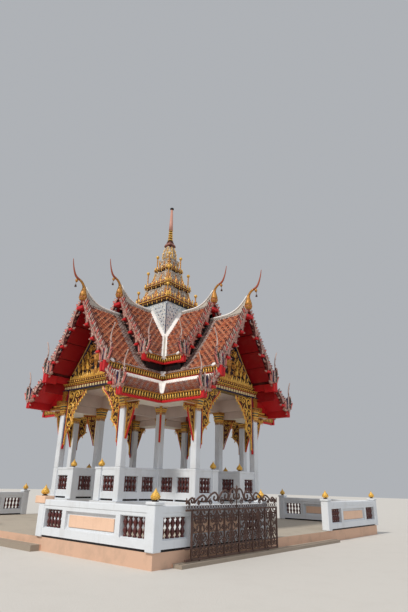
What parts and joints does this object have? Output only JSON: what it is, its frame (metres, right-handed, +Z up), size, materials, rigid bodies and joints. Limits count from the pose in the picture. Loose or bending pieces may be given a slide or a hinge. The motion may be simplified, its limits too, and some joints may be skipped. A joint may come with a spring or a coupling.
{
  "type": "buddhist cross-plan pavilion temple with walled terrace",
  "caption": "Cross-plan temple pavilion with gabled tiled porches, a stepped spire, balustrades and a low enclosing wall with a sliding iron gate.",
  "frame": {"origin": "on the ground under the middle of the pavilion", "axes": "+Z up, -Y towards the south porch, +X towards the east porch and the sliding gate"},
  "size_m": [13.32, 13.32, 14.75],
  "materials": {
    "white_plaster": "lime-washed render",
    "peach_plaster": "painted render",
    "stair_stone": "terrazzo",
    "cream_paint": "painted render",
    "gilding": "gold paint on cast ornament",
    "roof_tile": "half-gloss glazed tile",
    "gable_mosaic": "glass mosaic on carved board",
    "mirror_mosaic": "mirror-glass mosaic",
    "iron": "painted scrolled iron"
  },
  "bodies": {
    "temple": {"terrace": "peach_plaster", "podium": "white_plaster", "ceiling_beams": "cream_paint", "neck": "mirror_mosaic", "crown_lower_stage": "mirror_mosaic", "crown_middle_stage": "mirror_mosaic", "crown_upper_stage": "mirror_mosaic", "bell": "mirror_mosaic", "spire": "gilding", "south_stairs": "stair_stone", "south_gable_front": "gilding", "south_main_roof": "roof_tile", "south_upper_roof": "roof_tile", "south_main_bargeboards": "gable_mosaic", "south_upper_bargeboards": "gable_mosaic", "east_stairs": "stair_stone", "east_gable_front": "gilding", "east_main_roof": "roof_tile", "east_upper_roof": "roof_tile", "east_main_bargeboards": "gable_mosaic", "east_upper_bargeboards": "gable_mosaic", "north_stairs": "stair_stone", "north_gable_front": "gilding", "north_main_roof": "roof_tile", "north_upper_roof": "roof_tile", "north_main_bargeboards": "gable_mosaic", "north_upper_bargeboards": "gable_mosaic", "west_stairs": "stair_stone", "west_gable_front": "gilding", "west_main_roof": "roof_tile", "west_upper_roof": "roof_tile", "west_main_bargeboards": "gable_mosaic", "west_upper_bargeboards": "gable_mosaic", "south_east_wall": "white_plaster", "south_east_balustrade": "white_plaster", "south_east_skirt_roof": "roof_tile", "south_porch_column_east": "white_plaster", "south_east_corner_column": "white_plaster", "east_porch_column_south": "white_plaster", "north_east_wall": "white_plaster", "north_east_balustrade": "white_plaster", "north_east_skirt_roof": "roof_tile", "east_porch_column_north": "white_plaster", "north_east_corner_column": "white_plaster", "north_porch_column_east": "white_plaster", "north_west_wall": "white_plaster", "north_west_balustrade": "white_plaster", "north_west_skirt_roof": "roof_tile", "north_porch_column_west": "white_plaster", "north_west_corner_column": "white_plaster", "west_porch_column_north": "white_plaster", "south_west_wall": "white_plaster", "south_west_balustrade": "white_plaster", "south_west_skirt_roof": "roof_tile", "west_porch_column_south": "white_plaster", "south_west_corner_column": "white_plaster", "south_porch_column_west": "white_plaster"},
    "gate": {"sliding_gate": "iron"}
  },
  "joints": [
    {"name": "gate_slide", "type": "slide", "parent": "temple", "child": "gate", "axis": [0, 1, 0], "range_m": [0, 3.6]}
  ]
}
